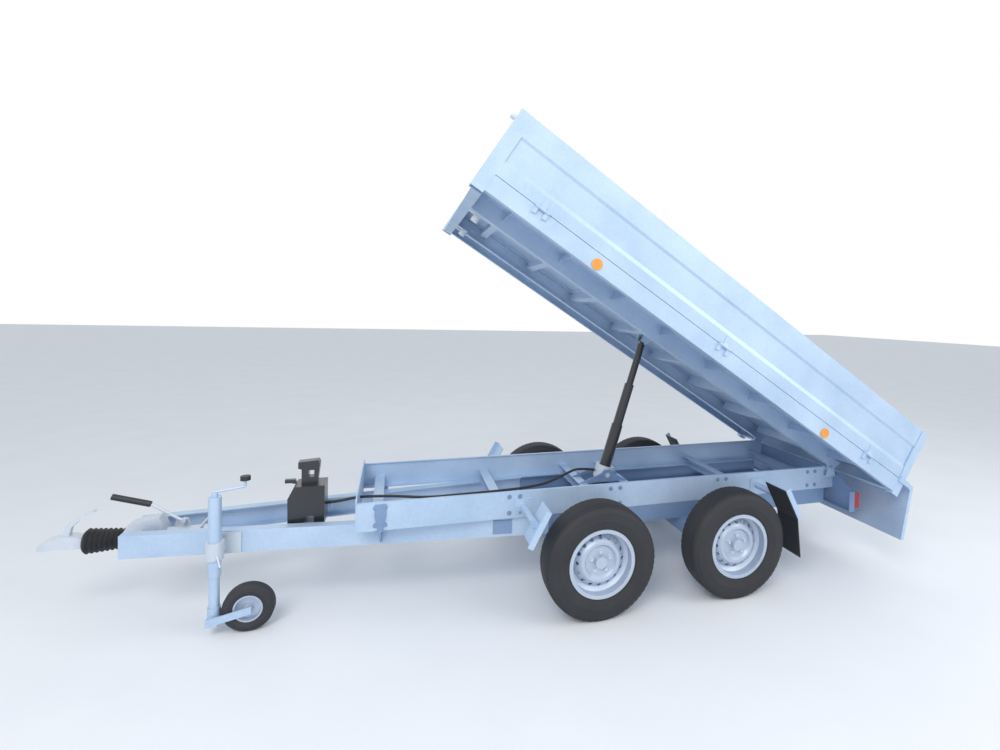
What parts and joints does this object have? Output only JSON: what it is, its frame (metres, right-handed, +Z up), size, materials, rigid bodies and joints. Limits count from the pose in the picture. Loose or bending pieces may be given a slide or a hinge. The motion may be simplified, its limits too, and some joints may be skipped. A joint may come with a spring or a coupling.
{
  "type": "tipper trailer",
  "caption": "Tandem-axle tipping trailer in zinc-coated steel with its bed raised on a telescopic ram, drop sides up and tailgate hanging open",
  "frame": {"origin": "on the ground under the middle of the overall length", "axes": "X forward to the coupling, Y to the left, Z up"},
  "size_m": [5.1288, 1.72, 2.7332],
  "materials": {
    "galvanised": "zinc-coated steel, satin",
    "galvanised_dark": "zinc-coated steel, dull",
    "rim_silver": "silver lacquer",
    "tyre_black": "moulded rubber",
    "jockey_rubber": "solid rubber",
    "black_paint": "satin black paint",
    "black_plastic": "moulded",
    "black_rubber": "moulded",
    "light_casting": "zinc-coated casting",
    "amber_plastic": "moulded reflector",
    "red_plastic": "moulded lamp",
    "white_plastic": "moulded lamp"
  },
  "bodies": {
    "chassis": {"side_rails": "galvanised", "front_bulkhead": "galvanised", "frame_cross_members": "galvanised", "drawbar_beams": "galvanised", "subframe_beams": "galvanised_dark", "rail_brackets": "galvanised_dark", "rear_bar": "galvanised_dark", "rear_lamps": "red_plastic", "axle_tubes": "galvanised_dark", "suspension_arms": "galvanised_dark", "splash_guards": "galvanised", "mud_flaps": "black_rubber", "coupling_head": "light_casting", "gaiter": "black_rubber", "overrun_housing": "light_casting", "handbrake_lever": "light_casting", "handbrake_grip": "black_plastic", "jockey_clamp": "light_casting", "jockey_tube": "galvanised", "jockey_knob": "black_plastic", "pump_tank": "black_paint", "pump_head": "black_paint", "hydraulic_hose": "black_rubber", "cylinder_cradle": "galvanised_dark", "bed_hinge_brackets": "galvanised"},
    "bed": {"bed_channels": "galvanised", "bed_cross_members": "galvanised", "bed_outriggers": "galvanised", "bed_floor": "galvanised", "bed_side_rails": "galvanised", "bed_end_beams": "galvanised", "corner_posts": "galvanised", "headboard": "galvanised", "cylinder_top_bracket": "galvanised", "side_reflectors": "amber_plastic", "front_markers": "white_plastic", "guide_rollers": "white_plastic", "board_hinges": "galvanised", "tailgate_pivots": "galvanised"},
    "barrel": {"cylinder_barrel": "black_paint", "cylinder_ring": "light_casting"},
    "stage_1": {"cylinder_stage_1": "black_paint"},
    "stage_2": {"cylinder_stage_2": "black_paint"},
    "stage_3": {"cylinder_stage_3": "black_paint"},
    "left_board": {"left_side_board": "galvanised"},
    "right_board": {"right_side_board": "galvanised"},
    "gate": {"tailgate": "galvanised"},
    "jockey_strut": {"jockey_leg": "galvanised"},
    "jockey_caster": {"jockey_fork": "galvanised"},
    "jockey_wheel": {"jockey_tyre": "jockey_rubber", "jockey_rim": "rim_silver"},
    "front_left_wheel": {"tyre_front_left": "tyre_black", "wheel_front_left": "rim_silver"},
    "front_right_wheel": {"tyre_front_right": "tyre_black", "wheel_front_right": "rim_silver"},
    "rear_left_wheel": {"tyre_rear_left": "tyre_black", "wheel_rear_left": "rim_silver"},
    "rear_right_wheel": {"tyre_rear_right": "tyre_black", "wheel_rear_right": "rim_silver"}
  },
  "joints": [
    {"name": "front_left_wheel_spin", "type": "hinge", "parent": "chassis", "child": "front_left_wheel", "pos_m": [-0.2866, 0.684, 0.325], "axis": [0, 1, 0], "continuous": true},
    {"name": "front_right_wheel_spin", "type": "hinge", "parent": "chassis", "child": "front_right_wheel", "pos_m": [-0.2866, -0.684, 0.325], "axis": [0, 1, 0], "continuous": true},
    {"name": "rear_left_wheel_spin", "type": "hinge", "parent": "chassis", "child": "rear_left_wheel", "pos_m": [-1.1766, 0.684, 0.325], "axis": [0, 1, 0], "continuous": true},
    {"name": "rear_right_wheel_spin", "type": "hinge", "parent": "chassis", "child": "rear_right_wheel", "pos_m": [-1.1766, -0.684, 0.325], "axis": [0, 1, 0], "continuous": true},
    {"name": "jockey_slide", "type": "slide", "parent": "chassis", "child": "jockey_strut", "axis": [0, 0, 1], "range_m": [0, 0.1]},
    {"name": "jockey_swivel", "type": "hinge", "parent": "jockey_strut", "child": "jockey_caster", "pos_m": [1.6924, 0.31, 0.12], "axis": [0, 0, 1], "continuous": true},
    {"name": "jockey_wheel_spin", "type": "hinge", "parent": "jockey_caster", "child": "jockey_wheel", "pos_m": [1.5324, 0.31, 0.123], "axis": [0, 1, 0], "continuous": true},
    {"name": "bed_tip", "type": "hinge", "parent": "chassis", "child": "bed", "pos_m": [-2.1616, 0, 0.634], "axis": [0, -1, 0], "range_deg": [-32.2, 7.8]},
    {"name": "cylinder_tilt", "type": "hinge", "parent": "chassis", "child": "barrel", "pos_m": [-0.5766, 0, 0.6], "axis": [0, -1, 0], "range_deg": [-17.5, 5]},
    {"name": "stage_1_slide", "type": "slide", "parent": "barrel", "child": "stage_1", "axis": [-0.2854, 0, 0.9584], "range_m": [-0.29272, 0.07166]},
    {"name": "stage_2_slide", "type": "slide", "parent": "stage_1", "child": "stage_2", "axis": [-0.2854, 0, 0.9584], "range_m": [-0.29272, 0.07166]},
    {"name": "stage_3_slide", "type": "slide", "parent": "stage_2", "child": "stage_3", "axis": [-0.2854, 0, 0.9584], "range_m": [-0.29272, 0.07166]},
    {"name": "left_board_fold", "type": "hinge", "parent": "bed", "child": "left_board", "pos_m": [-0.96105, 0.851, 1.54247], "axis": [-0.8462, 0, -0.5329], "range_deg": [0, 170]},
    {"name": "right_board_fold", "type": "hinge", "parent": "bed", "child": "right_board", "pos_m": [-0.96105, -0.851, 1.54247], "axis": [0.8462, 0, 0.5329], "range_deg": [0, 170]},
    {"name": "tailgate_swing", "type": "hinge", "parent": "bed", "child": "gate", "pos_m": [-2.41491, 0, 0.62339], "axis": [0, 1, 0], "range_deg": [-10, 158.98]}
  ],
  "couplings": [
    {"joint": "cylinder_tilt", "follows": "bed_tip", "ratio": 0.5},
    {"joint": "stage_1_slide", "follows": "bed_tip", "m_per_rad": 0.51907},
    {"joint": "stage_2_slide", "follows": "bed_tip", "m_per_rad": 0.51907},
    {"joint": "stage_3_slide", "follows": "bed_tip", "m_per_rad": 0.51907}
  ]
}
